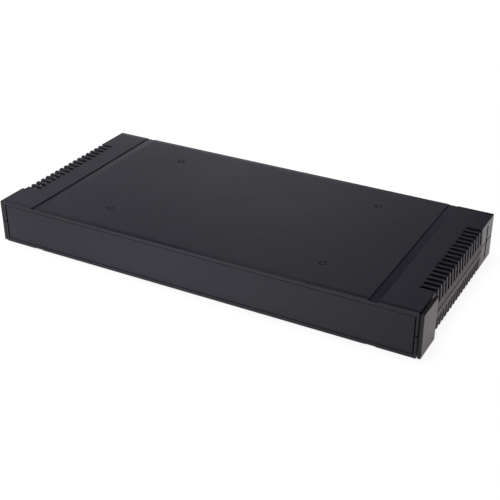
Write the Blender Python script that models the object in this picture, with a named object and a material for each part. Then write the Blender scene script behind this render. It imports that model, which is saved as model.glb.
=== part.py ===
# A one-unit rack mount enclosure: two alike half shells, two slide-in end panels,
# two side ears hooked in the shells, and the screws and inserts that close the case.
# Metres, +Z up. The front faces -Y and the origin is under the middle of the body.

import math

import bmesh
import bpy
from mathutils import Matrix, Vector

# Body
body_width = 0.434
body_depth = 0.204
body_height = 0.044
wall = 0.0023
side_draft = 0.0014
corner_radius = 0.0005
end_edge_radius = 0.0004
parting_gap = 0.0003
shadow_line_height = 0.0005
shadow_line_depth = 0.0008
fit_gap = 0.0003

# End panels and the grooves that hold them
lip_height = 0.0036
lip_thickness = 0.0018
groove_width = 0.0025
groove_rib = 0.0020
panel_setback = 0.0001
panel_end_gap = 0.0011
panel_edge_bevel = 0.0003

# Ventilation slots that wrap over the long edges
vent_pitch = 0.0076
vent_width = 0.0042
vent_top_reach = 0.0146
vent_side_reach = 0.01445
vent_margin = 0.0038

# Shallow channels that run from front to rear
channel_inner = 0.1720
channel_width = 0.0092
channel_depth = 0.0007

# Ear seats at the four ends of the sides, and the hook slot in each
seat_length = 0.0352
hook_slot_width = 0.0038
hook_slot_height = 0.0334
hook_slot_inset = 0.0174

# Ears
ear_thickness = 0.0032
ear_length = 0.0340
ear_short_of_edge = 0.0007
ear_stand_off = 0.0009
ear_edge_radius = 0.0006
hook_head_width = 0.0070
hook_head_thickness = 0.0016

# Screw posts, one under each round mark
post_x = 0.1133
post_y = 0.0640
post_radius = 0.0048
mark_radius = 0.0036
mark_ring_width = 0.0012
mark_depth = 0.0010
counterbore_depth = 0.0030

# Screws and threaded inserts
screw_radius = 0.0015
screw_head_radius = 0.0028
screw_head_height = 0.0020
screw_reach = 0.0085
socket_radius = 0.00145
socket_depth = 0.0011
insert_radius = 0.0026
insert_length = 0.0057
insert_recess = 0.0005

# Stand-offs and stiffening ribs inside each shell
standoff_radius = 0.0030
standoff_height = 0.0050
standoff_hole_radius = 0.0012
standoff_x = 0.1500
standoff_y = 0.0740
rib_thickness = 0.0014
rib_height = 0.0022
rib_y = 0.0300
rib_half_length = 0.1560

# Locating tongue along one side of each shell
tongue_thickness = 0.0014
tongue_height = 0.0024
tongue_root = 0.0030

round_segments = 24
small_segments = 16

# Places worked out from the sizes above
half_width = body_width / 2
half_depth = body_depth / 2
half_height = body_height / 2
bay_half_length = half_depth - seat_length
vent_run = 2 * (bay_half_length - vent_margin) - vent_width
vent_count = int(vent_run / vent_pitch) + 1
shell_inside = half_height - wall
end_opening = half_height - lip_height
hook_slot_y = half_depth - hook_slot_inset
groove_depth_in = lip_thickness + groove_width
post_places = [(x, y) for x in (-post_x, post_x) for y in (-post_y, post_y)]
standoff_places = [(x, y) for x in (-standoff_x, 0.0, standoff_x) for y in (-standoff_y, standoff_y)]


def clear_scene():
    for thing in list(bpy.data.objects):
        bpy.data.objects.remove(thing, do_unlink=True)


def material(name, colour, roughness, metallic=0.0):
    made = bpy.data.materials.new(name)
    made.use_nodes = True
    shader = made.node_tree.nodes["Principled BSDF"]
    shader.inputs["Base Color"].default_value = (*colour, 1.0)
    shader.inputs["Roughness"].default_value = roughness
    shader.inputs["Metallic"].default_value = metallic
    return made


def add_object(name, bm, finish=None):
    bmesh.ops.recalc_face_normals(bm, faces=bm.faces)
    mesh = bpy.data.meshes.new(name)
    bm.to_mesh(mesh)
    bm.free()
    made = bpy.data.objects.new(name, mesh)
    bpy.context.scene.collection.objects.link(made)
    if finish is not None:
        mesh.materials.append(finish)
    return made


def add_tool(name, bm):
    """An object that only cuts or joins: it is not a part of its own."""
    made = add_object(name, bm)
    made.hide_render = True
    made.display_type = "WIRE"
    return made


def combine(target, tool, operation):
    step = target.modifiers.new(tool.name, "BOOLEAN")
    step.operation = operation
    step.solver = "EXACT"
    step.object = tool


def box(bm, low, high):
    low = Vector(low)
    high = Vector(high)
    place = Matrix.Translation((low + high) / 2)
    size = Matrix.Diagonal((*(high - low), 1.0))
    bmesh.ops.create_cube(bm, size=1.0, matrix=place @ size)


def cylinder(bm, x, y, radius, low, high, segments=round_segments):
    place = Matrix.Translation((x, y, (low + high) / 2))
    bmesh.ops.create_cone(
        bm,
        cap_ends=True,
        segments=segments,
        radius1=radius,
        radius2=radius,
        depth=high - low,
        matrix=place,
    )


def prism(bm, outline, axis, low, high):
    """Extrude a closed outline along X (outline in Y, Z) or along Y (outline in X, Z)."""
    if axis == "X":
        points = [Vector((low, u, v)) for u, v in outline]
        travel = Vector((high - low, 0, 0))
    else:
        points = [Vector((u, low, v)) for u, v in outline]
        travel = Vector((0, high - low, 0))
    face = bm.faces.new([bm.verts.new(point) for point in points])
    grown = bmesh.ops.extrude_face_region(bm, geom=[face])["geom"]
    moved = [item for item in grown if isinstance(item, bmesh.types.BMVert)]
    bmesh.ops.translate(bm, verts=moved, vec=travel)


def side_at(height):
    """Outer half width of a shell at a height above the parting plane."""
    return half_width + side_draft * (1 - height / half_height)


def corner_arc(steps=3):
    """Right-hand top corner of a shell, from the side round to the top."""
    centre_x = half_width - corner_radius
    centre_z = half_height - corner_radius
    turns = [math.pi / 2 * step / steps for step in range(steps + 1)]
    return [
        (centre_x + corner_radius * math.cos(turn), centre_z + corner_radius * math.sin(turn))
        for turn in turns
    ]


def shell_outline():
    foot = parting_gap / 2
    right = [(side_at(foot), foot)] + corner_arc()
    left = [(-x, z) for x, z in reversed(right)]
    return right + left


def shell_body():
    """The outside of a half shell as a solid, with its front and rear edges eased."""
    bm = bmesh.new()
    prism(bm, shell_outline(), "Y", -half_depth, half_depth)
    end_edges = []
    for edge in bm.edges:
        at_end = all(abs(abs(vert.co.y) - half_depth) < 1e-7 for vert in edge.verts)
        same_end = edge.verts[0].co.y * edge.verts[1].co.y > 0
        at_foot = all(vert.co.z < parting_gap for vert in edge.verts)
        if at_end and same_end and not at_foot:
            end_edges.append(edge)
    bmesh.ops.bevel(
        bm,
        geom=end_edges,
        offset=end_edge_radius,
        segments=2,
        profile=0.5,
        affect="EDGES",
    )
    return bm


def seat_tool():
    """Takes the four ear seats off the drafted sides, down to upright flats."""
    bm = bmesh.new()
    outer = half_width + 2 * side_draft
    for side in (-1, 1):
        for end in (-1, 1):
            xs = sorted((side * half_width, side * outer))
            ys = sorted((end * bay_half_length, end * (half_depth + wall)))
            box(bm, (xs[0], ys[0], -wall), (xs[1], ys[1], half_height + wall))
    return add_tool("ear_seat_tool", bm)


def inside_tool():
    """The hollow between the side walls, with a panel groove at each end."""
    lip_back = half_depth - lip_thickness
    groove_back = half_depth - groove_depth_in
    rib_back = groove_back - groove_rib
    rear = [
        (rib_back, shell_inside),
        (rib_back, end_opening),
        (groove_back, end_opening),
        (groove_back, shell_inside),
        (lip_back, shell_inside),
        (lip_back, end_opening),
        (half_depth + wall, end_opening),
        (half_depth + wall, -wall),
    ]
    front = [(-y, z) for y, z in reversed(rear)]
    bm = bmesh.new()
    prism(bm, front + rear, "X", -(half_width - wall), half_width - wall)
    return add_tool("inside_tool", bm)


def bay_tool():
    """Thins the walls between the ear seats, so that they follow the drafted sides."""
    top = half_height - 2 * wall
    outline = [
        (side_at(0) - wall, -wall),
        (side_at(0) - wall, 0),
        (side_at(top) - wall, top),
        (wall - side_at(top), top),
        (wall - side_at(0), 0),
        (wall - side_at(0), -wall),
    ]
    bm = bmesh.new()
    prism(bm, outline, "Y", wall - bay_half_length, bay_half_length - wall)
    return add_tool("bay_tool", bm)


def shadow_line_tools():
    """A shallow rebate round the foot, which shows as a dark line where the shells meet."""
    top = parting_gap / 2 + shadow_line_height
    clear = half_width + 2 * side_draft
    beyond = half_depth + wall
    sides = bmesh.new()
    for side in (-1, 1):
        xs = sorted((side * (side_at(0) - shadow_line_depth), side * clear))
        box(sides, (xs[0], -beyond, -wall), (xs[1], beyond, top))
    seats = bmesh.new()
    for side in (-1, 1):
        for end in (-1, 1):
            xs = sorted((side * (half_width - shadow_line_depth), side * clear))
            ys = sorted((end * bay_half_length, end * beyond))
            box(seats, (xs[0], ys[0], -wall), (xs[1], ys[1], top))
    ends = bmesh.new()
    for end in (-1, 1):
        ys = sorted((end * (half_depth - shadow_line_depth), end * beyond))
        box(ends, (-clear, ys[0], -wall), (clear, ys[1], top))
    return [
        add_tool("shadow_line_side_tool", sides),
        add_tool("shadow_line_seat_tool", seats),
        add_tool("shadow_line_end_tool", ends),
    ]


def fittings_tool():
    """Screw posts, stand-offs, ribs and the locating tongue, joined to the shell."""
    bm = bmesh.new()
    rooted = shell_inside + wall / 2
    foot = parting_gap / 2
    for x, y in post_places:
        cylinder(bm, x, y, post_radius, foot, rooted)
    for x, y in standoff_places:
        cylinder(bm, x, y, standoff_radius, shell_inside - standoff_height, rooted, small_segments)
    for y in (-rib_y, rib_y):
        low = (-rib_half_length, y - rib_thickness / 2, shell_inside - rib_height)
        high = (rib_half_length, y + rib_thickness / 2, rooted)
        box(bm, low, high)
    outer = side_at(0) - wall - fit_gap - side_draft * tongue_height / half_height
    inner = outer - tongue_thickness
    outline = [
        (inner, -tongue_height),
        (outer, -tongue_height),
        (outer, foot + fit_gap),
        (outer + fit_gap + wall / 2, foot + fit_gap),
        (outer + fit_gap + wall / 2, tongue_root),
        (inner, tongue_root),
    ]
    reach = bay_half_length - wall - 2 * fit_gap
    prism(bm, outline, "Y", -reach, reach)
    return add_tool("fittings_tool", bm)


def vent_tool():
    """One slot that wraps over the edge, repeated along the side and mirrored."""
    bm = bmesh.new()
    first = -vent_pitch * (vent_count - 1) / 2
    low = (half_width - vent_top_reach, first - vent_width / 2, half_height - vent_side_reach)
    high = (half_width + 2 * side_draft, first + vent_width / 2, half_height + wall)
    box(bm, low, high)
    tool = add_tool("vent_tool", bm)
    row = tool.modifiers.new("row", "ARRAY")
    row.count = vent_count
    row.use_relative_offset = False
    row.use_constant_offset = True
    row.constant_offset_displace = (0, vent_pitch, 0)
    tool.modifiers.new("other_side", "MIRROR")
    return tool


def channel_tool():
    bm = bmesh.new()
    for side in (-1, 1):
        xs = sorted((side * channel_inner, side * (channel_inner + channel_width)))
        low = (xs[0], -half_depth - wall, half_height - channel_depth)
        high = (xs[1], half_depth + wall, half_height + wall)
        box(bm, low, high)
    return add_tool("channel_tool", bm)


def hook_slot_tool():
    bm = bmesh.new()
    for side in (-1, 1):
        for y in (-hook_slot_y, hook_slot_y):
            xs = sorted((side * (half_width - 2 * wall), side * (half_width + wall)))
            low = (xs[0], y - hook_slot_width / 2, -wall)
            high = (xs[1], y + hook_slot_width / 2, hook_slot_height / 2)
            box(bm, low, high)
    return add_tool("hook_slot_tool", bm)


def standoff_hole_tool():
    bm = bmesh.new()
    for x, y in standoff_places:
        tip = shell_inside - standoff_height
        cylinder(bm, x, y, standoff_hole_radius, tip - wall, shell_inside, small_segments)
    return add_tool("standoff_hole_tool", bm)


def blind_post_tools():
    """Upper shell: a pocket for the insert, and the screw's room beyond it."""
    bm = bmesh.new()
    pocket = parting_gap / 2 + insert_recess + insert_length + fit_gap
    room = parting_gap / 2 + screw_reach + 2 * fit_gap
    for x, y in post_places:
        cylinder(bm, x, y, insert_radius + fit_gap, -wall, pocket)
    tool = add_tool("insert_pocket_tool", bm)
    bm = bmesh.new()
    for x, y in post_places:
        cylinder(bm, x, y, screw_radius + fit_gap, -wall, room)
    return [tool, add_tool("screw_room_tool", bm)]


def open_post_tools():
    """Lower shell: a counterbore for the head and a clearance hole."""
    bm = bmesh.new()
    for x, y in post_places:
        cylinder(bm, x, y, screw_radius + fit_gap, -wall, half_height + wall)
    hole = add_tool("clearance_hole_tool", bm)
    bm = bmesh.new()
    for x, y in post_places:
        cylinder(bm, x, y, mark_radius, half_height - counterbore_depth, half_height + wall)
    return [hole, add_tool("counterbore_tool", bm)]


def round_mark_tools():
    """A shallow ring on top of each post, where the lower shell has its counterbore."""
    bm = bmesh.new()
    for x, y in post_places:
        cylinder(bm, x, y, mark_radius, half_height - mark_depth, half_height + wall)
    ring = add_tool("round_mark_tool", bm)
    bm = bmesh.new()
    inner = mark_radius - mark_ring_width
    for x, y in post_places:
        cylinder(bm, x, y, inner, half_height - 2 * mark_depth, half_height + 2 * wall)
    core = add_tool("round_mark_core_tool", bm)
    core.parent = ring
    combine(ring, core, "DIFFERENCE")
    return [ring]


def shared_tools():
    """What both shells have: the mould's own hollows, fittings, slots and channels."""
    return [
        (seat_tool(), "DIFFERENCE"),
        (inside_tool(), "DIFFERENCE"),
        (bay_tool(), "DIFFERENCE"),
        (fittings_tool(), "UNION"),
        (vent_tool(), "DIFFERENCE"),
        (channel_tool(), "DIFFERENCE"),
        (hook_slot_tool(), "DIFFERENCE"),
        (standoff_hole_tool(), "DIFFERENCE"),
    ] + [(tool, "DIFFERENCE") for tool in shadow_line_tools()]


def make_shell(name, finish, own_tools):
    """A half shell modelled with its parting plane at height 0 and its outside up."""
    shell = add_object(name, shell_body(), finish)
    for tool, operation in shared_tools() + [(tool, "DIFFERENCE") for tool in own_tools]:
        tool.name = name + "_" + tool.name
        tool.parent = shell
        combine(shell, tool, operation)
    shell.location.z = half_height
    return shell


def make_shells(top_finish, bottom_finish):
    """Both shells come from one mould: the lower one is the upper one turned about Y."""
    make_shell("top_shell", top_finish, blind_post_tools() + round_mark_tools())
    bottom = make_shell("bottom_shell", bottom_finish, open_post_tools())
    bottom.rotation_euler.y = math.pi


def make_panel(name, finish, end):
    """A stepped plate: its flange runs in the grooves and its face stands between the lips."""
    face = half_depth - panel_setback
    flange_front = half_depth - lip_thickness - fit_gap
    flange_back = half_depth - groove_depth_in + fit_gap
    flange_half = shell_inside - fit_gap
    face_half = end_opening - fit_gap
    outline = [
        (flange_back, half_height - flange_half),
        (flange_front, half_height - flange_half),
        (flange_front, half_height - face_half),
        (face, half_height - face_half),
        (face, half_height + face_half),
        (flange_front, half_height + face_half),
        (flange_front, half_height + flange_half),
        (flange_back, half_height + flange_half),
    ]
    reach = half_width - wall - panel_end_gap
    bm = bmesh.new()
    prism(bm, [(end * y, z) for y, z in outline], "X", -reach, reach)
    panel = add_object(name, bm, finish)
    ease = panel.modifiers.new("edges", "BEVEL")
    ease.width = panel_edge_bevel
    ease.segments = 1
    return panel


def make_ear(name, finish, side):
    """A side ear: a flat plate with a hook that both shells close on."""
    inner = half_width + ear_stand_off
    outer = inner + ear_thickness
    front = -hook_slot_y - ear_length / 2
    rear = -hook_slot_y + ear_length / 2
    bm = bmesh.new()
    xs = sorted((side * inner, side * outer))
    box(bm, (xs[0], front, ear_short_of_edge), (xs[1], rear, body_height - ear_short_of_edge))
    outer_edges = [
        edge for edge in bm.edges if all(abs(abs(vert.co.x) - outer) < 1e-7 for vert in edge.verts)
    ]
    bmesh.ops.bevel(
        bm,
        geom=outer_edges,
        offset=ear_edge_radius,
        segments=2,
        profile=0.5,
        affect="EDGES",
    )
    ear = add_object(name, bm, finish)
    neck = hook_slot_width / 2 - fit_gap
    hook_half = hook_slot_height / 2 - fit_gap
    head_outer = half_width - wall - fit_gap
    head_inner = head_outer - hook_head_thickness
    bm = bmesh.new()
    xs = sorted((side * head_inner, side * (inner + ear_thickness / 2)))
    low = (xs[0], -hook_slot_y - neck, half_height - hook_half)
    high = (xs[1], -hook_slot_y + neck, half_height + hook_half)
    box(bm, low, high)
    combine(ear, add_tool(name + "_neck_tool", bm), "UNION")
    bm = bmesh.new()
    xs = sorted((side * head_inner, side * head_outer))
    low = (xs[0], -hook_slot_y - hook_head_width / 2, half_height - hook_half)
    high = (xs[1], -hook_slot_y + hook_head_width / 2, half_height + hook_half)
    box(bm, low, high)
    combine(ear, add_tool(name + "_head_tool", bm), "UNION")
    return ear


def make_screw(name, finish, x, y):
    """A cheese-head screw, head down in the counterbore, with a hexagon socket."""
    seat = counterbore_depth - fit_gap
    tip = half_height + parting_gap / 2 + screw_reach
    profile = [
        (0, seat - screw_head_height),
        (screw_head_radius, seat - screw_head_height),
        (screw_head_radius, seat),
        (screw_radius, seat),
        (screw_radius, tip - screw_radius / 2),
        (screw_radius / 2, tip),
        (0, tip),
    ]
    bm = bmesh.new()
    verts = [bm.verts.new((radius, 0, z)) for radius, z in profile]
    edges = [bm.edges.new(pair) for pair in zip(verts, verts[1:])]
    bmesh.ops.spin(
        bm,
        geom=verts + edges,
        cent=(0, 0, 0),
        axis=(0, 0, 1),
        angle=2 * math.pi,
        steps=small_segments,
        use_merge=True,
    )
    bmesh.ops.remove_doubles(bm, verts=bm.verts, dist=1e-6)
    screw = add_object(name, bm, finish)
    screw.location = (x, y, 0)
    bm = bmesh.new()
    low = seat - 2 * screw_head_height
    cylinder(bm, x, y, socket_radius, low, seat - screw_head_height + socket_depth, 6)
    combine(screw, add_tool(name + "_socket_tool", bm), "DIFFERENCE")
    return screw


def make_insert(name, finish, x, y):
    low = half_height + parting_gap / 2 + insert_recess
    bm = bmesh.new()
    cylinder(bm, x, y, insert_radius, low, low + insert_length)
    insert = add_object(name, bm, finish)
    bm = bmesh.new()
    cylinder(bm, x, y, screw_radius + fit_gap, low - wall, low + insert_length + wall)
    combine(insert, add_tool(name + "_bore_tool", bm), "DIFFERENCE")
    return insert


def build():
    clear_scene()
    plastic = (0.018, 0.018, 0.021)
    top_finish = material("top_shell_plastic", plastic, 0.45)
    bottom_finish = material("bottom_shell_plastic", plastic, 0.45)
    make_shells(top_finish, bottom_finish)
    for name, end in (("front_panel", -1), ("rear_panel", 1)):
        make_panel(name, material(name + "_plastic", plastic, 0.40), end)
    for name, side in (("side_ear_left", -1), ("side_ear_right", 1)):
        make_ear(name, material(name + "_plastic", plastic, 0.42), side)
    for number, (x, y) in enumerate(post_places, start=1):
        steel = material(f"case_screw_{number}_steel", (0.10, 0.10, 0.11), 0.35, 1.0)
        make_screw(f"case_screw_{number}", steel, x, y)
        brass = material(f"threaded_insert_{number}_brass", (0.60, 0.42, 0.16), 0.35, 1.0)
        make_insert(f"threaded_insert_{number}", brass, x, y)


build()
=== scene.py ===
# The looks of the rack mount enclosure: grained black plastic, threaded screws and knurled
# brass inserts, with a white floor, soft studio light and a camera round it.

import math

import bpy
import numpy as np
from mathutils import Matrix, Vector


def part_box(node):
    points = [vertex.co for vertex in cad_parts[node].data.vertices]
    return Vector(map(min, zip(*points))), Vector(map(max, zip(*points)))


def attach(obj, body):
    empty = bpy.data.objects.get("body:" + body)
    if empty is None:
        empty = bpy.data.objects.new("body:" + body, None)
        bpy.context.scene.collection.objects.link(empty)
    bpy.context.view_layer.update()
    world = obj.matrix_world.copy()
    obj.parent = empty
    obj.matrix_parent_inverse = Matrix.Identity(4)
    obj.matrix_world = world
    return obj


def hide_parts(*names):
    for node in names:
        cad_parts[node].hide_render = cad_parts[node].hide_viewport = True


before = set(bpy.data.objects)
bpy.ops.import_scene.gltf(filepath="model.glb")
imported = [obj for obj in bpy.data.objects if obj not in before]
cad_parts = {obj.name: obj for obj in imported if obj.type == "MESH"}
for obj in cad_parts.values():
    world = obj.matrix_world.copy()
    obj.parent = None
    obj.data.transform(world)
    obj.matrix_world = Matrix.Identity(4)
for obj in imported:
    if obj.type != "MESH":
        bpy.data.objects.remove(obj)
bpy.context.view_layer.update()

# Camera, solved from the long edges of the case in the photograph
VIEW_AZIMUTH = 28.80
VIEW_ELEVATION = 28.73
VIEW_ROLL = -0.13
VIEW_DISTANCE = 0.9436
VIEW_TARGET = (0.0264, -0.0383, 0.022)
LENS_LENGTH = 71.99
SENSOR_WIDTH = 36.0

# Moulded plastic: a base colour, sizes in metres, and the roughness where it is grained and
# where it is polished
PLASTIC_IOR = 1.54
SHELL_FINISH = {
    "base": (0.0060, 0.0052, 0.0140),
    "grain_size": 0.0006,
    "grain_depth": 0.00005,
    "edge_radius": 0.0003,
    "grained": 0.40,
    "polished": 0.27,
}
PANEL_FINISH = {
    "base": (0.0060, 0.0052, 0.0170),
    "grain_size": 0.0005,
    "grain_depth": 0.00003,
    "edge_radius": 0.0002,
    "grained": 0.36,
}
EAR_FINISH = {
    "base": (0.0050, 0.0044, 0.0065),
    "grain_size": 0.0005,
    "grain_depth": 0.00004,
    "edge_radius": 0.0003,
    "grained": 0.28,
}

# Smooth bands on the shells: channels, front and rear borders, and the seats of the ears
CHANNEL_INNER = 0.1720
CHANNEL_WIDTH = 0.0092
BORDER_WIDTH = 0.0048
SEAT_SIDE = 0.2165
SEAT_START = 0.0668
BAND_BLUR = 0.0008

# Mould grain: shares of the rounded pits and of the grit between them, and their fineness
PIT_SHARE = 0.65
PIT_SOFTNESS = 0.55
GRIT_SHARE = 0.5
GRIT_FINENESS = 1.7
CLUSTER_FINENESS = 0.22

# Cloudy noise seldom leaves these two values
NOISE_LOW = 0.35
NOISE_HIGH = 0.65

# Handling marks: broad patches, and streaks where their own noise is high
PATCH_SIZE = 0.08
STREAK_FINENESS = 6.0
STREAK_LEAN = 0.5
STREAK_STRETCH = 14.0
STREAK_LOW = 0.62
STREAK_HIGH = 0.80

# Rubbed edges, by the cosine between the rounded normal and the face's own
EDGE_SAMPLES = 6
EDGE_FLAT = 0.99
EDGE_BENT = 0.80
RUBBED_BLACK = (0.022, 0.021, 0.028)
RUBBED_SHARE = 0.2

# What each effect in full adds to the roughness of the plastic
BORDER_ROUGHNESS = -0.015
PATCH_ROUGHNESS = 0.04
STREAK_ROUGHNESS = -0.05
EDGE_ROUGHNESS = -0.10
FLECK_ROUGHNESS = 0.06
CLUSTER_ROUGHNESS = 0.03

# Turned metal: smoothest and dullest are roughness values
STEEL_FINISH = {
    "dark": (0.10, 0.10, 0.11),
    "bright": (0.42, 0.42, 0.43),
    "smoothest": 0.28,
    "dullest": 0.42,
    "ring_depth": 0.000008,
}
BRASS_FINISH = {
    "dark": (0.62, 0.43, 0.17),
    "bright": (0.80, 0.62, 0.32),
    "smoothest": 0.25,
    "dullest": 0.38,
    "ring_depth": 0.000008,
}
RING_WIDTH = 0.00006
RING_STRENGTH = 0.6
RING_LOW = 0.3
RING_HIGH = 0.7
STAINS_PER_METRE = 900.0
STAIN_LOW = 0.40
STAIN_HIGH = 0.70

# Screws and inserts: cap screws with a coarse thread of their size, and knurling that leans
# by so many radians to a metre of height
AROUND = 48
SHARP_ANGLE = 32.0
EASED = 0.00015
SHANK_RADIUS = 0.0015
HEAD_HEIGHT = 0.0020
HEAD_RIBS = 16
RIB_SHARE = 0.035
SOCKET_ACROSS_FLATS = 0.0025
SOCKET_DEPTH = 0.0011
THREAD_PITCH = 0.0005
THREAD_DEPTH = 0.00027
THREAD_LENGTH = 0.0120
ROWS_PER_PITCH = 6
BORE_CLEARANCE = 0.0003
KNURL_TEETH = 16
KNURL_ROWS = 30
KNURL_LEAN = 2600.0
KNURL_DEPTH = 0.00022
WAIST_HALF = 0.0005
WAIST_DEPTH = 0.0004

# Floor: its colour for bounced light and for the camera, and the glow that the camera sees
FLOOR_HALF_SIZE = 5.0
FLOOR_DROP = 0.0002
FLOOR_ROUGHNESS = 0.9
FLOOR_WHITE = (0.80, 0.80, 0.80)
FLOOR_SEEN = (0.34, 0.34, 0.34)
FLOOR_GLOW = (0.78, 0.78, 0.78)
FLOOR_GLOW_FAR = (1.0, 1.0, 1.0)
FAR_FROM = 0.7
FAR_TO = 2.2

# Painted reflection, the floor's glow in gloss: across in front of the case with painted shade
# towards its right end, along beside it, painted shade left of it and painted light under it
# Painted reflection across in front of the case, with painted shade at the right end
PAINTED_REFLECTION_ACROSS = [
    (0.0, (0.14, 0.12, 0.18)),
    (0.33, (0.37, 0.34, 0.46)),
    (0.67, (0.30, 0.27, 0.31)),
    (1.0, (0.0, 0.0, 0.02)),
]
PAINTED_REFLECTION_ALONG = [
    (0.0, (0.30, 0.24, 0.26)),
    (0.33, (0.37, 0.29, 0.31)),
    (0.67, (0.26, 0.20, 0.22)),
    (1.0, (0.22, 0.20, 0.23)),
]
# Painted shade in the floor's reflection to the left of the case
PAINTED_SHADE_LEFT = (0.03, 0.03, 0.03)
# Painted light in the floor's reflection under the case
PAINTED_LIGHT_UNDER = (0.66, 0.65, 0.68)
REACH_BEHIND = 0.06
SIDE_BLUR = 0.01
UNDER_BLUR = 0.008

# Studio: softboxes give azimuth and elevation in degrees, distance, width and height in
# metres, the brightness of the face, and its tint
STUDIO_GLOW = 0.03
SOFTBOXES = {
    "overhead_softbox": (0, 90, 4.0, 2.5, 2.5, 4.0, (1.02, 1.00, 0.96)),
    "left_softbox": (95, 25, 0.7, 0.4, 0.4, 2.3, (0.85, 0.95, 1.12)),
    "rear_left_softbox": (33, 14, 1.1, 1.15, 0.40, 0.72, (1.01, 0.96, 1.03)),
    "rear_softbox": (26, 24, 1.1, 0.3, 0.4, 0.26, (0.95, 0.97, 1.08)),
    "front_right_softbox": (-150, 55, 4.0, 2.5, 2.5, 2.0, (1.00, 0.99, 1.02)),
}


# Node helpers


def put(tree, kind, settings=None, **inputs):
    """Add a shader node. An input is a plain value, or the socket that feeds it."""
    made = tree.nodes.new("ShaderNode" + kind)
    for name, value in (settings or {}).items():
        setattr(made, name, value)
    for name, value in inputs.items():
        feed(tree, made.inputs[name.replace("_", " ")], value)
    return made


def feed(tree, socket, value):
    """Link a socket to the socket that feeds it, or set its plain value."""
    if isinstance(value, bpy.types.NodeSocket):
        tree.links.new(value, socket)
    else:
        socket.default_value = value


def calc(tree, operation, *values, clamp=False):
    """A Math node's result."""
    made = put(tree, "Math", {"operation": operation, "use_clamp": clamp})
    for socket, value in zip(made.inputs, values):
        feed(tree, socket, value)
    return made.outputs[0]


def ramp(tree, value, low, high, to_low=0.0, to_high=1.0, style="SMOOTHSTEP"):
    """Carry a value smoothly from one range to another."""
    made = put(tree, "MapRange", {"interpolation_type": style}, Value=value)
    ends = {"From Min": low, "From Max": high, "To Min": to_low, "To Max": to_high}
    for name, number in ends.items():
        feed(tree, made.inputs[name], number)
    return made.outputs["Result"]


def noise(tree, position, scale, detail=2.0, roughness=0.5):
    """Cloudy noise between nought and one, with about as many clouds to a metre as its scale."""
    made = put(tree, "TexNoise", Vector=position, Scale=scale, Detail=detail, Roughness=roughness)
    return made.outputs[0]


def opaque(colour):
    """The colour with nothing showing through it."""
    return (*colour, 1)


def blend_colours(tree, share, first, second):
    """The first colour where the share is nought, and the second where it is one."""
    made = put(tree, "Mix", {"data_type": "RGBA"})
    feed(tree, made.inputs["Factor"], share)
    feed(tree, made.inputs[6], first)
    feed(tree, made.inputs[7], second)
    return made.outputs[2]


def colour_stops(tree, share, stops):
    """A colour ramp: each stop is its place from nought to one, and its colour."""
    made = put(tree, "ValToRGB", Fac=share)
    elements = made.color_ramp.elements
    while len(elements) < len(stops):
        elements.new(1.0)
    for element, (place, colour) in zip(elements, stops):
        element.position = place
        element.color = opaque(colour)
    return made.outputs[0]


def new_group(name, inputs, outputs):
    """A node group with its sockets. Returns the tree, its inputs and its outputs."""
    tree = bpy.data.node_groups.new(name, "ShaderNodeTree")
    for socket_name, kind, start in inputs:
        kind = "NodeSocket" + kind
        socket = tree.interface.new_socket(socket_name, in_out="INPUT", socket_type=kind)
        if start is not None:
            socket.default_value = start
    for socket_name, kind in outputs:
        kind = "NodeSocket" + kind
        tree.interface.new_socket(socket_name, in_out="OUTPUT", socket_type=kind)
    entry = tree.nodes.new("NodeGroupInput")
    result = tree.nodes.new("NodeGroupOutput")
    return tree, entry.outputs, result.inputs


def use_group(tree, group, **inputs):
    """Place a node group, with its own values. Returns its outputs."""
    made = put(tree, "Group", {"node_tree": group})
    for name, value in inputs.items():
        feed(tree, made.inputs[name.replace("_", " ")], value)
    return made.outputs


# Shared effects


def moulded_grain_group():
    """Spark-eroded mould grain: rounded pits of one size with finer grit between them."""
    tree, entry, result = new_group(
        "moulded_grain",
        [("Position", "Vector", None), ("Grain Size", "Float", 0.0005), ("Smooth", "Float", 0.0)],
        [("Height", "Float"), ("Fleck", "Float"), ("Cluster", "Float")],
    )
    position = entry["Position"]
    per_metre = calc(tree, "DIVIDE", 1.0, entry["Grain Size"])
    pits = put(
        tree,
        "TexVoronoi",
        {"feature": "SMOOTH_F1"},
        Vector=position,
        Scale=per_metre,
        Smoothness=PIT_SOFTNESS,
    ).outputs["Distance"]
    fine = calc(tree, "MULTIPLY", per_metre, GRIT_FINENESS)
    grit = noise(tree, position, fine, detail=3.0, roughness=0.6)
    coarse = calc(tree, "MULTIPLY", per_metre, CLUSTER_FINENESS)
    cluster = noise(tree, position, coarse)
    mixed = calc(tree, "MULTIPLY_ADD", pits, PIT_SHARE, calc(tree, "MULTIPLY", grit, GRIT_SHARE))
    textured = calc(tree, "SUBTRACT", 1.0, entry["Smooth"], clamp=True)
    spread = ramp(tree, cluster, NOISE_LOW, NOISE_HIGH, -1.0, 1.0)
    feed(tree, result["Height"], calc(tree, "MULTIPLY", mixed, textured))
    feed(tree, result["Fleck"], calc(tree, "MULTIPLY", grit, textured))
    feed(tree, result["Cluster"], calc(tree, "MULTIPLY", spread, textured))
    return tree


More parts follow.
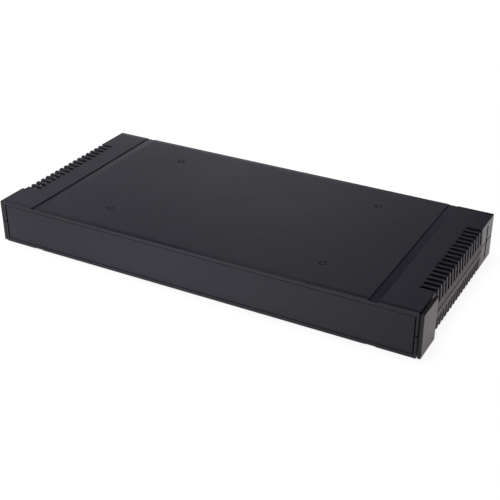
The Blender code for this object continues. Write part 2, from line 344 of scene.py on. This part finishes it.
def smooth_bands_group():
    """One where the mould is polished: in the channels, along the front and rear borders, and
    on the seats of the ears. The border is also given by itself."""
    tree, entry, result = new_group(
        "smooth_bands",
        [
            ("Position", "Vector", None),
            ("Channel Inner", "Float", CHANNEL_INNER),
            ("Channel Width", "Float", CHANNEL_WIDTH),
            ("Half Depth", "Float", 0.1),
            ("Border Width", "Float", BORDER_WIDTH),
            ("Seat Side", "Float", SEAT_SIDE),
            ("Seat Start", "Float", SEAT_START),
            ("Blur", "Float", BAND_BLUR),
        ],
        [("Smooth", "Float"), ("Border", "Float")],
    )
    parts = put(tree, "SeparateXYZ", Vector=entry["Position"]).outputs
    across = calc(tree, "ABSOLUTE", parts["X"])
    along = calc(tree, "ABSOLUTE", parts["Y"])
    channel_outer = calc(tree, "ADD", entry["Channel Inner"], entry["Channel Width"])
    past_inner = calc(tree, "GREATER_THAN", across, entry["Channel Inner"])
    before_outer = calc(tree, "LESS_THAN", across, channel_outer)
    channel = calc(tree, "MULTIPLY", past_inner, before_outer)
    border_start = calc(tree, "SUBTRACT", entry["Half Depth"], entry["Border Width"])
    border_full = calc(tree, "ADD", border_start, entry["Blur"])
    border = ramp(tree, along, border_start, border_full)
    on_side = calc(tree, "GREATER_THAN", across, entry["Seat Side"])
    at_end = calc(tree, "GREATER_THAN", along, entry["Seat Start"])
    seat = calc(tree, "MULTIPLY", on_side, at_end)
    flats = calc(tree, "MAXIMUM", channel, border)
    feed(tree, result["Smooth"], calc(tree, "MAXIMUM", flats, seat))
    feed(tree, result["Border"], border)
    return tree


def rounded_edges_group():
    """The small radius of a moulded edge as a bent normal, and a mask of where it bends."""
    tree, entry, result = new_group(
        "rounded_edges",
        [("Radius", "Float", 0.0003)],
        [("Normal", "Vector"), ("Edge", "Float")],
    )
    bent = put(tree, "Bevel", {"samples": EDGE_SAMPLES}, Radius=entry["Radius"]).outputs[0]
    flat = put(tree, "NewGeometry").outputs["Normal"]
    agree = put(tree, "VectorMath", {"operation": "DOT_PRODUCT"})
    feed(tree, agree.inputs[0], bent)
    feed(tree, agree.inputs[1], flat)
    feed(tree, result["Normal"], bent)
    feed(tree, result["Edge"], ramp(tree, agree.outputs["Value"], EDGE_FLAT, EDGE_BENT))
    return tree


def handling_marks_group():
    """Broad faint patches and fine short streaks, as handling leaves on dark plastic."""
    tree, entry, result = new_group(
        "handling_marks",
        [("Position", "Vector", None), ("Patch Size", "Float", PATCH_SIZE)],
        [("Patch", "Float"), ("Streak", "Float")],
    )
    position = entry["Position"]
    per_metre = calc(tree, "DIVIDE", 1.0, entry["Patch Size"])
    patch = noise(tree, position, per_metre, detail=3.0)
    stretched = put(
        tree,
        "Mapping",
        Vector=position,
        Rotation=(0.0, 0.0, STREAK_LEAN),
        Scale=(1.0, STREAK_STRETCH, 1.0),
    ).outputs[0]
    streak = noise(tree, stretched, calc(tree, "MULTIPLY", per_metre, STREAK_FINENESS))
    feed(tree, result["Patch"], ramp(tree, patch, NOISE_LOW, NOISE_HIGH))
    feed(tree, result["Streak"], ramp(tree, streak, STREAK_LOW, STREAK_HIGH))
    return tree


def turned_metal_group():
    """Fine rings left by the cutting tool, which follow the distance along a turned profile."""
    tree, entry, result = new_group(
        "turned_metal",
        [("Ring Width", "Float", RING_WIDTH)],
        [("Ring", "Float"), ("Stain", "Float")],
    )
    along = put(tree, "Attribute", {"attribute_name": "along"}).outputs["Fac"]
    rings = put(
        tree,
        "TexNoise",
        {"noise_dimensions": "1D"},
        W=calc(tree, "DIVIDE", along, entry["Ring Width"]),
        Scale=1.0,
        Detail=3.0,
        Roughness=0.6,
    )
    position = put(tree, "TexCoord").outputs["Object"]
    stain = noise(tree, position, STAINS_PER_METRE, detail=3.0, roughness=0.55)
    feed(tree, result["Ring"], rings.outputs[0])
    feed(tree, result["Stain"], ramp(tree, stain, STAIN_LOW, STAIN_HIGH))
    return tree


GRAIN = moulded_grain_group()
BANDS = smooth_bands_group()
EDGES = rounded_edges_group()
MARKS = handling_marks_group()
TURNED = turned_metal_group()


# Finishes


def start_material(name):
    """A new material. Returns it with its node tree and its shader."""
    made = bpy.data.materials.new(name)
    made.use_nodes = True
    tree = made.node_tree
    return made, tree, tree.nodes["Principled BSDF"]


def moulded_plastic(name, base, grain_size, grain_depth, edge_radius, grained, polished=None):
    """Black moulded plastic, grained all over. Where a finish gives a polished roughness too,
    the smooth bands of the shells have it, and no grain."""
    made, tree, shader = start_material(name)
    shader.inputs["IOR"].default_value = PLASTIC_IOR
    position = put(tree, "TexCoord").outputs["Object"]
    smooth = 0.0
    rough = grained
    if polished is not None:
        half_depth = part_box("top_shell")[1].y
        bands = use_group(tree, BANDS, Position=position, Half_Depth=half_depth)
        smooth = bands["Smooth"]
        rough = ramp(tree, smooth, 0.0, 1.0, grained, polished, "LINEAR")
        rough = calc(tree, "MULTIPLY_ADD", bands["Border"], BORDER_ROUGHNESS, rough)
    grain = use_group(tree, GRAIN, Position=position, Grain_Size=grain_size, Smooth=smooth)
    edges = use_group(tree, EDGES, Radius=edge_radius)
    marks = use_group(tree, MARKS, Position=position)
    rough = calc(tree, "MULTIPLY_ADD", marks["Patch"], PATCH_ROUGHNESS, rough)
    rough = calc(tree, "MULTIPLY_ADD", marks["Streak"], STREAK_ROUGHNESS, rough)
    rough = calc(tree, "MULTIPLY_ADD", edges["Edge"], EDGE_ROUGHNESS, rough)
    rough = calc(tree, "MULTIPLY_ADD", grain["Fleck"], FLECK_ROUGHNESS, rough)
    rough = calc(tree, "MULTIPLY_ADD", grain["Cluster"], CLUSTER_ROUGHNESS, rough, clamp=True)
    feed(tree, shader.inputs["Roughness"], rough)
    rubbed = calc(tree, "MULTIPLY", edges["Edge"], RUBBED_SHARE)
    colour = blend_colours(tree, rubbed, opaque(base), opaque(RUBBED_BLACK))
    feed(tree, shader.inputs["Base Color"], colour)
    bump = put(
        tree,
        "Bump",
        Strength=1.0,
        Distance=grain_depth,
        Height=grain["Height"],
        Normal=edges["Normal"],
    )
    feed(tree, shader.inputs["Normal"], bump.outputs[0])
    return made


def turned_metal(name, dark, bright, smoothest, dullest, ring_depth):
    """Metal turned on a lathe: bright, with darker stains and fine rings."""
    made, tree, shader = start_material(name)
    shader.inputs["Metallic"].default_value = 1.0
    marks = use_group(tree, TURNED)
    colour = blend_colours(tree, marks["Stain"], opaque(bright), opaque(dark))
    rough = ramp(tree, marks["Ring"], RING_LOW, RING_HIGH, smoothest, dullest)
    bump = put(tree, "Bump", Strength=RING_STRENGTH, Distance=ring_depth, Height=marks["Ring"])
    feed(tree, shader.inputs["Base Color"], colour)
    feed(tree, shader.inputs["Roughness"], rough)
    feed(tree, shader.inputs["Normal"], bump.outputs[0])
    return made


def dress(names, finish):
    """Give the pieces of the frame a finish in place of their plain material."""
    for name in names:
        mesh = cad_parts[name].data
        mesh.materials.clear()
        mesh.materials.append(finish)


# Screws and inserts


def even_angles():
    """The angles of the points of a ring, from nought to just short of a full turn."""
    return np.linspace(0, 2 * math.pi, AROUND, endpoint=False)


def rows_of(*stations):
    """Rows of radius, and their heights, from pairs of the two. A station's radius is one
    number all the way round, or one number for each angle."""
    radius = np.array([np.broadcast_to(r, AROUND) for r, z in stations])
    return radius, np.array([z for r, z in stations])


def helix(radius, heights, depth):
    """Rows of a thread: the radius dips by the depth and rises again once for each pitch of
    height, and the dip moves up a pitch with each turn of the angle."""
    phase = heights[:, None] / THREAD_PITCH - even_angles() / (2 * math.pi)
    return radius - depth * np.abs(2 * (phase % 1.0) - 1), heights


def turned_rings(parts, centre):
    """Points of the rows: the centre plus the row's radius times the cosine and the sine of
    each angle, at the row's height."""
    angle = even_angles()
    radius = np.vstack([radius for radius, heights in parts])
    height = np.concatenate([heights for radius, heights in parts])[:, None] + 0 * angle
    x = centre.x + radius * np.cos(angle)
    y = centre.y + radius * np.sin(angle)
    return np.stack([x, y, height], axis=-1)


def turned_skin(name, rings, finish, tube=False):
    """A closed surface round an upright axis, from rows of closed rings of points: each point
    is joined to the next one round and to the same one a row on. A tube joins its last row to
    its first, and any other piece is closed at each end by a fan to the middle of the ring.
    The attribute along is the distance from the first row, measured over the rows."""
    rows, columns = rings.shape[:2]
    index = np.arange(rows * columns).reshape(rows, columns)
    low = index if tube else index[:-1]
    high = np.roll(index, -1, axis=0) if tube else index[1:]
    quads = np.stack([low, np.roll(low, -1, axis=1), np.roll(high, -1, axis=1), high], axis=-1)
    faces = quads.reshape(-1, 4).tolist()
    points = rings.reshape(-1, 3)
    steps = np.linalg.norm(np.diff(rings[:, 0], axis=0), axis=1)
    along = np.repeat(np.concatenate([[0.0], np.cumsum(steps)]), columns)
    if not tube:
        first, last = rows * columns, rows * columns + 1
        start, end = index[0], index[-1]
        start_fan = [np.full(columns, first), np.roll(start, -1), start]
        end_fan = [np.full(columns, last), end, np.roll(end, -1)]
        faces += np.stack(start_fan, axis=-1).tolist()
        faces += np.stack(end_fan, axis=-1).tolist()
        points = np.concatenate([points, [rings[0].mean(axis=0)], [rings[-1].mean(axis=0)]])
        start_reach = np.ptp(rings[0, :, 0]) / 2
        end_reach = np.ptp(rings[-1, :, 0]) / 2
        along = np.append(along, [-start_reach, along[-1] + end_reach])
    mesh = bpy.data.meshes.new(name)
    mesh.from_pydata(points.tolist(), [], faces)
    distance = mesh.attributes.new("along", "FLOAT", "POINT")
    distance.data.foreach_set("value", along.astype(np.float32))
    mesh.shade_smooth()
    mesh.set_sharp_from_angle(angle=math.radians(SHARP_ANGLE))
    mesh.materials.append(finish)
    piece = bpy.data.objects.new(name, mesh)
    bpy.context.scene.collection.objects.link(piece)
    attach(piece, "root")
    return piece


def make_screw(number, finish):
    """A cap screw, head down. The socket is a hexagon: half its width across flats, over the
    cosine of the angle from the nearest flat's middle. The head's radius dips with the sine of
    the angle times half the number of ribs. The shank is plain, and its end is threaded."""
    low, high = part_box(f"case_screw_{number}")
    head = (high.x - low.x) / 2
    head_face = head - 2 * EASED
    seat = low.z + HEAD_HEIGHT
    socket_floor = low.z + SOCKET_DEPTH
    thread_start = high.z - THREAD_LENGTH
    thread_end = high.z - SHANK_RADIUS / 2
    angle = even_angles()
    flat_turn = (angle + math.pi / 6) % (math.pi / 3) - math.pi / 6
    socket = SOCKET_ACROSS_FLATS / 2 / np.cos(flat_turn)
    ribs = head * (1 - RIB_SHARE * np.abs(np.sin(HEAD_RIBS / 2 * angle)))
    head_and_shank = rows_of(
        (socket / 2, socket_floor),
        (socket, socket_floor),
        (socket, low.z + EASED),
        (socket + EASED, low.z),
        (head_face, low.z),
        (ribs, low.z + 2 * EASED),
        (ribs, seat - EASED),
        (head_face, seat),
        (SHANK_RADIUS + EASED, seat),
        (SHANK_RADIUS, seat + EASED),
        (SHANK_RADIUS, thread_start),
    )
    heights = np.arange(thread_start, thread_end, THREAD_PITCH / ROWS_PER_PITCH)[1:]
    grown = np.clip((heights - thread_start) / THREAD_PITCH, 0, 1)
    thread = helix(SHANK_RADIUS, heights, THREAD_DEPTH * grown[:, None])
    point = rows_of((SHANK_RADIUS - THREAD_DEPTH, thread_end), (SHANK_RADIUS / 2, high.z))
    rings = turned_rings([head_and_shank, thread, point], (low + high) / 2)
    screw = turned_skin(f"threaded_screw_{number}", rings, finish)
    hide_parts(f"case_screw_{number}")


def make_insert(number, finish):
    """A brass insert, threaded inside. Outside, two knurled bands have a waist between them: a
    band's radius dips with the product of two sines that lean opposite ways, and the waist is
    cut in where the height is near the middle."""
    low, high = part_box(f"threaded_insert_{number}")
    centre = (low + high) / 2
    outer = (high.x - low.x) / 2
    bore = SHANK_RADIUS + BORE_CLEARANCE
    heights = np.linspace(low.z + EASED, high.z - EASED, KNURL_ROWS)
    band = np.clip((np.abs(heights - centre.z) - WAIST_HALF) / EASED, 0, 1)[:, None]
    lean = KNURL_LEAN * (heights - low.z)[:, None]
    turn = KNURL_TEETH / 2 * even_angles()
    diamonds = np.abs(np.sin(turn + lean) * np.sin(turn - lean))
    knurled = outer - WAIST_DEPTH * (1 - band) + KNURL_DEPTH * band * (diamonds - 1)
    top = rows_of((outer - 2 * EASED, high.z), (bore + EASED, high.z))
    bottom = rows_of((bore + EASED, low.z), (outer - 2 * EASED, low.z))
    downward = np.arange(high.z - EASED, low.z + EASED, -THREAD_PITCH / ROWS_PER_PITCH)
    thread = helix(bore, downward, THREAD_DEPTH / 2)
    rings = turned_rings([(knurled, heights), top, thread, bottom], centre)
    insert = turned_skin(f"knurled_insert_{number}", rings, finish, tube=True)
    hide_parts(f"threaded_insert_{number}")


# Stage


def make_camera():
    """The camera looks at its target from the photograph's azimuth, elevation and distance."""
    azimuth = math.radians(VIEW_AZIMUTH)
    elevation = math.radians(VIEW_ELEVATION)
    back = Vector((
        math.sin(azimuth) * math.cos(elevation),
        -math.cos(azimuth) * math.cos(elevation),
        math.sin(elevation),
    ))
    lens = bpy.data.cameras.new("camera")
    lens.lens = LENS_LENGTH
    lens.sensor_width = SENSOR_WIDTH
    camera = bpy.data.objects.new("camera", lens)
    bpy.context.scene.collection.objects.link(camera)
    place = Matrix.Translation(Vector(VIEW_TARGET) + back * VIEW_DISTANCE)
    level = back.to_track_quat("Z", "Y").to_matrix().to_4x4()
    roll = Matrix.Rotation(math.radians(VIEW_ROLL), 4, "Z")
    camera.matrix_world = place @ level @ roll
    bpy.context.scene.camera = camera


def painted_floor_reflection(tree, point):
    """Painted reflection, the floor's glow in gloss: it changes across in front of the case, with
    painted shade towards the right end, and along beside it; to the left of the case it is dim
    with painted shade, and under it pale with painted light."""
    low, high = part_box("top_shell")
    place = put(tree, "SeparateXYZ", Vector=point).outputs
    share_across = ramp(tree, place["X"], low.x, high.x, style="LINEAR")
    share_along = ramp(tree, place["Y"], low.y, high.y + REACH_BEHIND, style="LINEAR")
    across = colour_stops(tree, share_across, PAINTED_REFLECTION_ACROSS)
    along = colour_stops(tree, share_along, PAINTED_REFLECTION_ALONG)
    # Painted shade to the left of the case
    not_left = ramp(tree, place["X"], low.x - SIDE_BLUR, low.x)
    beside = blend_colours(tree, not_left, opaque(PAINTED_SHADE_LEFT), along)
    past_front = ramp(tree, place["Y"], low.y - SIDE_BLUR, low.y + SIDE_BLUR)
    round_case = blend_colours(tree, past_front, across, beside)
    off_middle = calc(tree, "ABSOLUTE", place["X"])
    off_centre = calc(tree, "ABSOLUTE", place["Y"])
    # Painted light under the case
    inside_sides = ramp(tree, off_middle, high.x, high.x - UNDER_BLUR)
    inside_ends = ramp(tree, off_centre, high.y, high.y - UNDER_BLUR)
    under = calc(tree, "MULTIPLY", inside_sides, inside_ends)
    return blend_colours(tree, under, round_case, opaque(PAINTED_LIGHT_UNDER))


def floor_white():
    """White that keeps the case's shadow and glows for the camera, and in gloss shows a painted
    reflection with painted shade and painted light. It has no back: from below, the floor can be
    seen through."""
    made, tree, shader = start_material("floor_white")
    path = put(tree, "LightPath").outputs
    seen = path["Is Camera Ray"]
    mirrored = calc(tree, "MAXIMUM", path["Is Glossy Ray"], path["Is Transmission Ray"])
    white = blend_colours(tree, seen, opaque(FLOOR_WHITE), opaque(FLOOR_SEEN))
    feed(tree, shader.inputs["Base Color"], white)
    shader.inputs["Roughness"].default_value = FLOOR_ROUGHNESS
    shader.inputs["Specular IOR Level"].default_value = 0.0
    point = put(tree, "TexCoord").outputs["Object"]
    away = put(tree, "VectorMath", {"operation": "LENGTH"}, Vector=point).outputs["Value"]
    far = ramp(tree, away, FAR_FROM, FAR_TO)
    backdrop = blend_colours(tree, far, opaque(FLOOR_GLOW), opaque(FLOOR_GLOW_FAR))
    # In gloss the floor shows the painted reflection; the camera sees the even backdrop
    colour = blend_colours(tree, seen, painted_floor_reflection(tree, point), backdrop)
    strength = calc(tree, "MAXIMUM", mirrored, seen)
    glow = put(tree, "Emission", Color=colour, Strength=strength)
    lit = put(tree, "AddShader")
    feed(tree, lit.inputs[0], shader.outputs[0])
    feed(tree, lit.inputs[1], glow.outputs[0])
    sided = put(tree, "MixShader", Fac=put(tree, "NewGeometry").outputs["Backfacing"])
    feed(tree, sided.inputs[1], lit.outputs[0])
    feed(tree, sided.inputs[2], put(tree, "BsdfTransparent").outputs[0])
    feed(tree, tree.nodes["Material Output"].inputs["Surface"], sided.outputs[0])
    return made


def make_floor():
    """A square floor just under the case."""
    corners = np.array([(-1, -1, 0), (1, -1, 0), (1, 1, 0), (-1, 1, 0)]) * FLOOR_HALF_SIZE
    corners[:, 2] = -FLOOR_DROP
    mesh = bpy.data.meshes.new("floor")
    mesh.from_pydata(corners.tolist(), [], [(0, 1, 2, 3)])
    mesh.materials.append(floor_white())
    floor = bpy.data.objects.new("floor", mesh)
    bpy.context.scene.collection.objects.link(floor)


def make_world():
    """A dim even glow on the case from all round, which the camera sees as white."""
    world = bpy.data.worlds.new("studio")
    bpy.context.scene.world = world
    world.use_nodes = True
    tree = world.node_tree
    seen = put(tree, "LightPath").outputs["Is Camera Ray"]
    background = tree.nodes["Background"]
    background.inputs["Color"].default_value = (1, 1, 1, 1)
    feed(tree, background.inputs["Strength"], calc(tree, "MAXIMUM", seen, STUDIO_GLOW))


def make_softbox(name, azimuth, elevation, distance, width, height, brightness, tint):
    """A flat soft lamp that faces the case. Azimuth is measured from the rear towards the left.
    Its power is the brightness of its face, times its area and pi."""
    turn = math.radians(azimuth)
    rise = math.radians(elevation)
    away = Vector((
        -math.sin(turn) * math.cos(rise),
        math.cos(turn) * math.cos(rise),
        math.sin(rise),
    ))
    lamp = bpy.data.lights.new(name, "AREA")
    lamp.shape = "RECTANGLE"
    lamp.size = width
    lamp.size_y = height
    lamp.energy = brightness * width * height * math.pi
    lamp.color = tint
    made = bpy.data.objects.new(name, lamp)
    bpy.context.scene.collection.objects.link(made)
    made.location = away * distance
    made.rotation_euler = away.to_track_quat("Z", "Y").to_euler()


make_camera()
make_floor()
make_world()
for softbox_name, softbox_values in SOFTBOXES.items():
    make_softbox(softbox_name, *softbox_values)

dress(("top_shell", "bottom_shell"), moulded_plastic("shell_plastic", **SHELL_FINISH))
dress(("front_panel", "rear_panel"), moulded_plastic("panel_plastic", **PANEL_FINISH))
dress(("side_ear_left", "side_ear_right"), moulded_plastic("ear_plastic", **EAR_FINISH))

screw_steel = turned_metal("screw_steel", **STEEL_FINISH)
insert_brass = turned_metal("insert_brass", **BRASS_FINISH)
for number in range(1, 5):
    make_screw(number, screw_steel)
    make_insert(number, insert_brass)

bpy.context.scene.view_settings.view_transform = "Standard"
